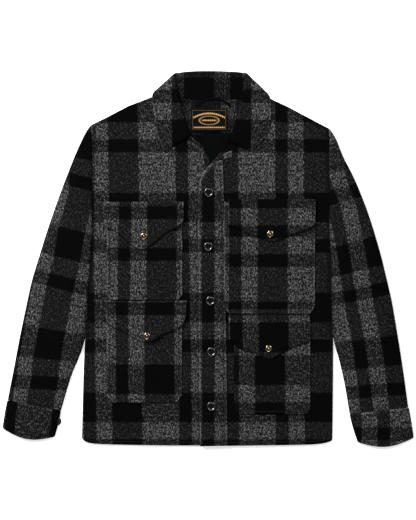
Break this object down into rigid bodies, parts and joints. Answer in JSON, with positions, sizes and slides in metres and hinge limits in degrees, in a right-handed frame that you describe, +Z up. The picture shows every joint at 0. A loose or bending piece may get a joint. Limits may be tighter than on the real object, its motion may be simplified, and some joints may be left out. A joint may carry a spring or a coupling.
{
  "type": "mackinaw jacket",
  "caption": "Heavy plaid wool work jacket laid flat on its back, buttoned, with shirt collar, flapped patch pockets and cuffed sleeves.",
  "frame": {"origin": "middle of the jacket's outline, on the surface that it lies on", "axes": "+X to the wearer's left, +Y from hem to collar, +Z up from the surface, which the back lies on"},
  "size_m": [0.8826, 0.805, 0.0175],
  "materials": {
    "wool_plaid": "heavy napped wool, grey heather and black plaid",
    "lining": "smooth dark lining and tape",
    "label": "woven damask, black with gold lines",
    "button": "polished black, four holes and a raised rim",
    "snap": "antique brass cap with a dark centre"
  },
  "bodies": {
    "root": {"back": "wool_plaid", "front_right": "wool_plaid", "front_left": "wool_plaid", "front_band": "wool_plaid", "front_facing": "wool_plaid", "back_lining": "lining", "neck_facing": "wool_plaid", "neck_label": "label", "hanger_loop": "lining", "collar": "wool_plaid", "sleeve_right": "wool_plaid", "sleeve_left": "wool_plaid", "cuff_right": "wool_plaid", "cuff_left": "wool_plaid", "pocket_chest_right": "wool_plaid", "flap_chest_right": "wool_plaid", "snap_chest_right": "snap", "pocket_hip_right": "wool_plaid", "flap_hip_right": "wool_plaid", "snap_hip_right": "snap", "pocket_chest_left": "wool_plaid", "flap_chest_left": "wool_plaid", "snap_chest_left": "snap", "pocket_hip_left": "wool_plaid", "flap_hip_left": "wool_plaid", "snap_hip_left": "snap", "button_1": "button", "button_2": "button", "button_3": "button", "button_4": "button", "button_5": "button", "button_cuff": "button"}
  },
  "joints": []
}
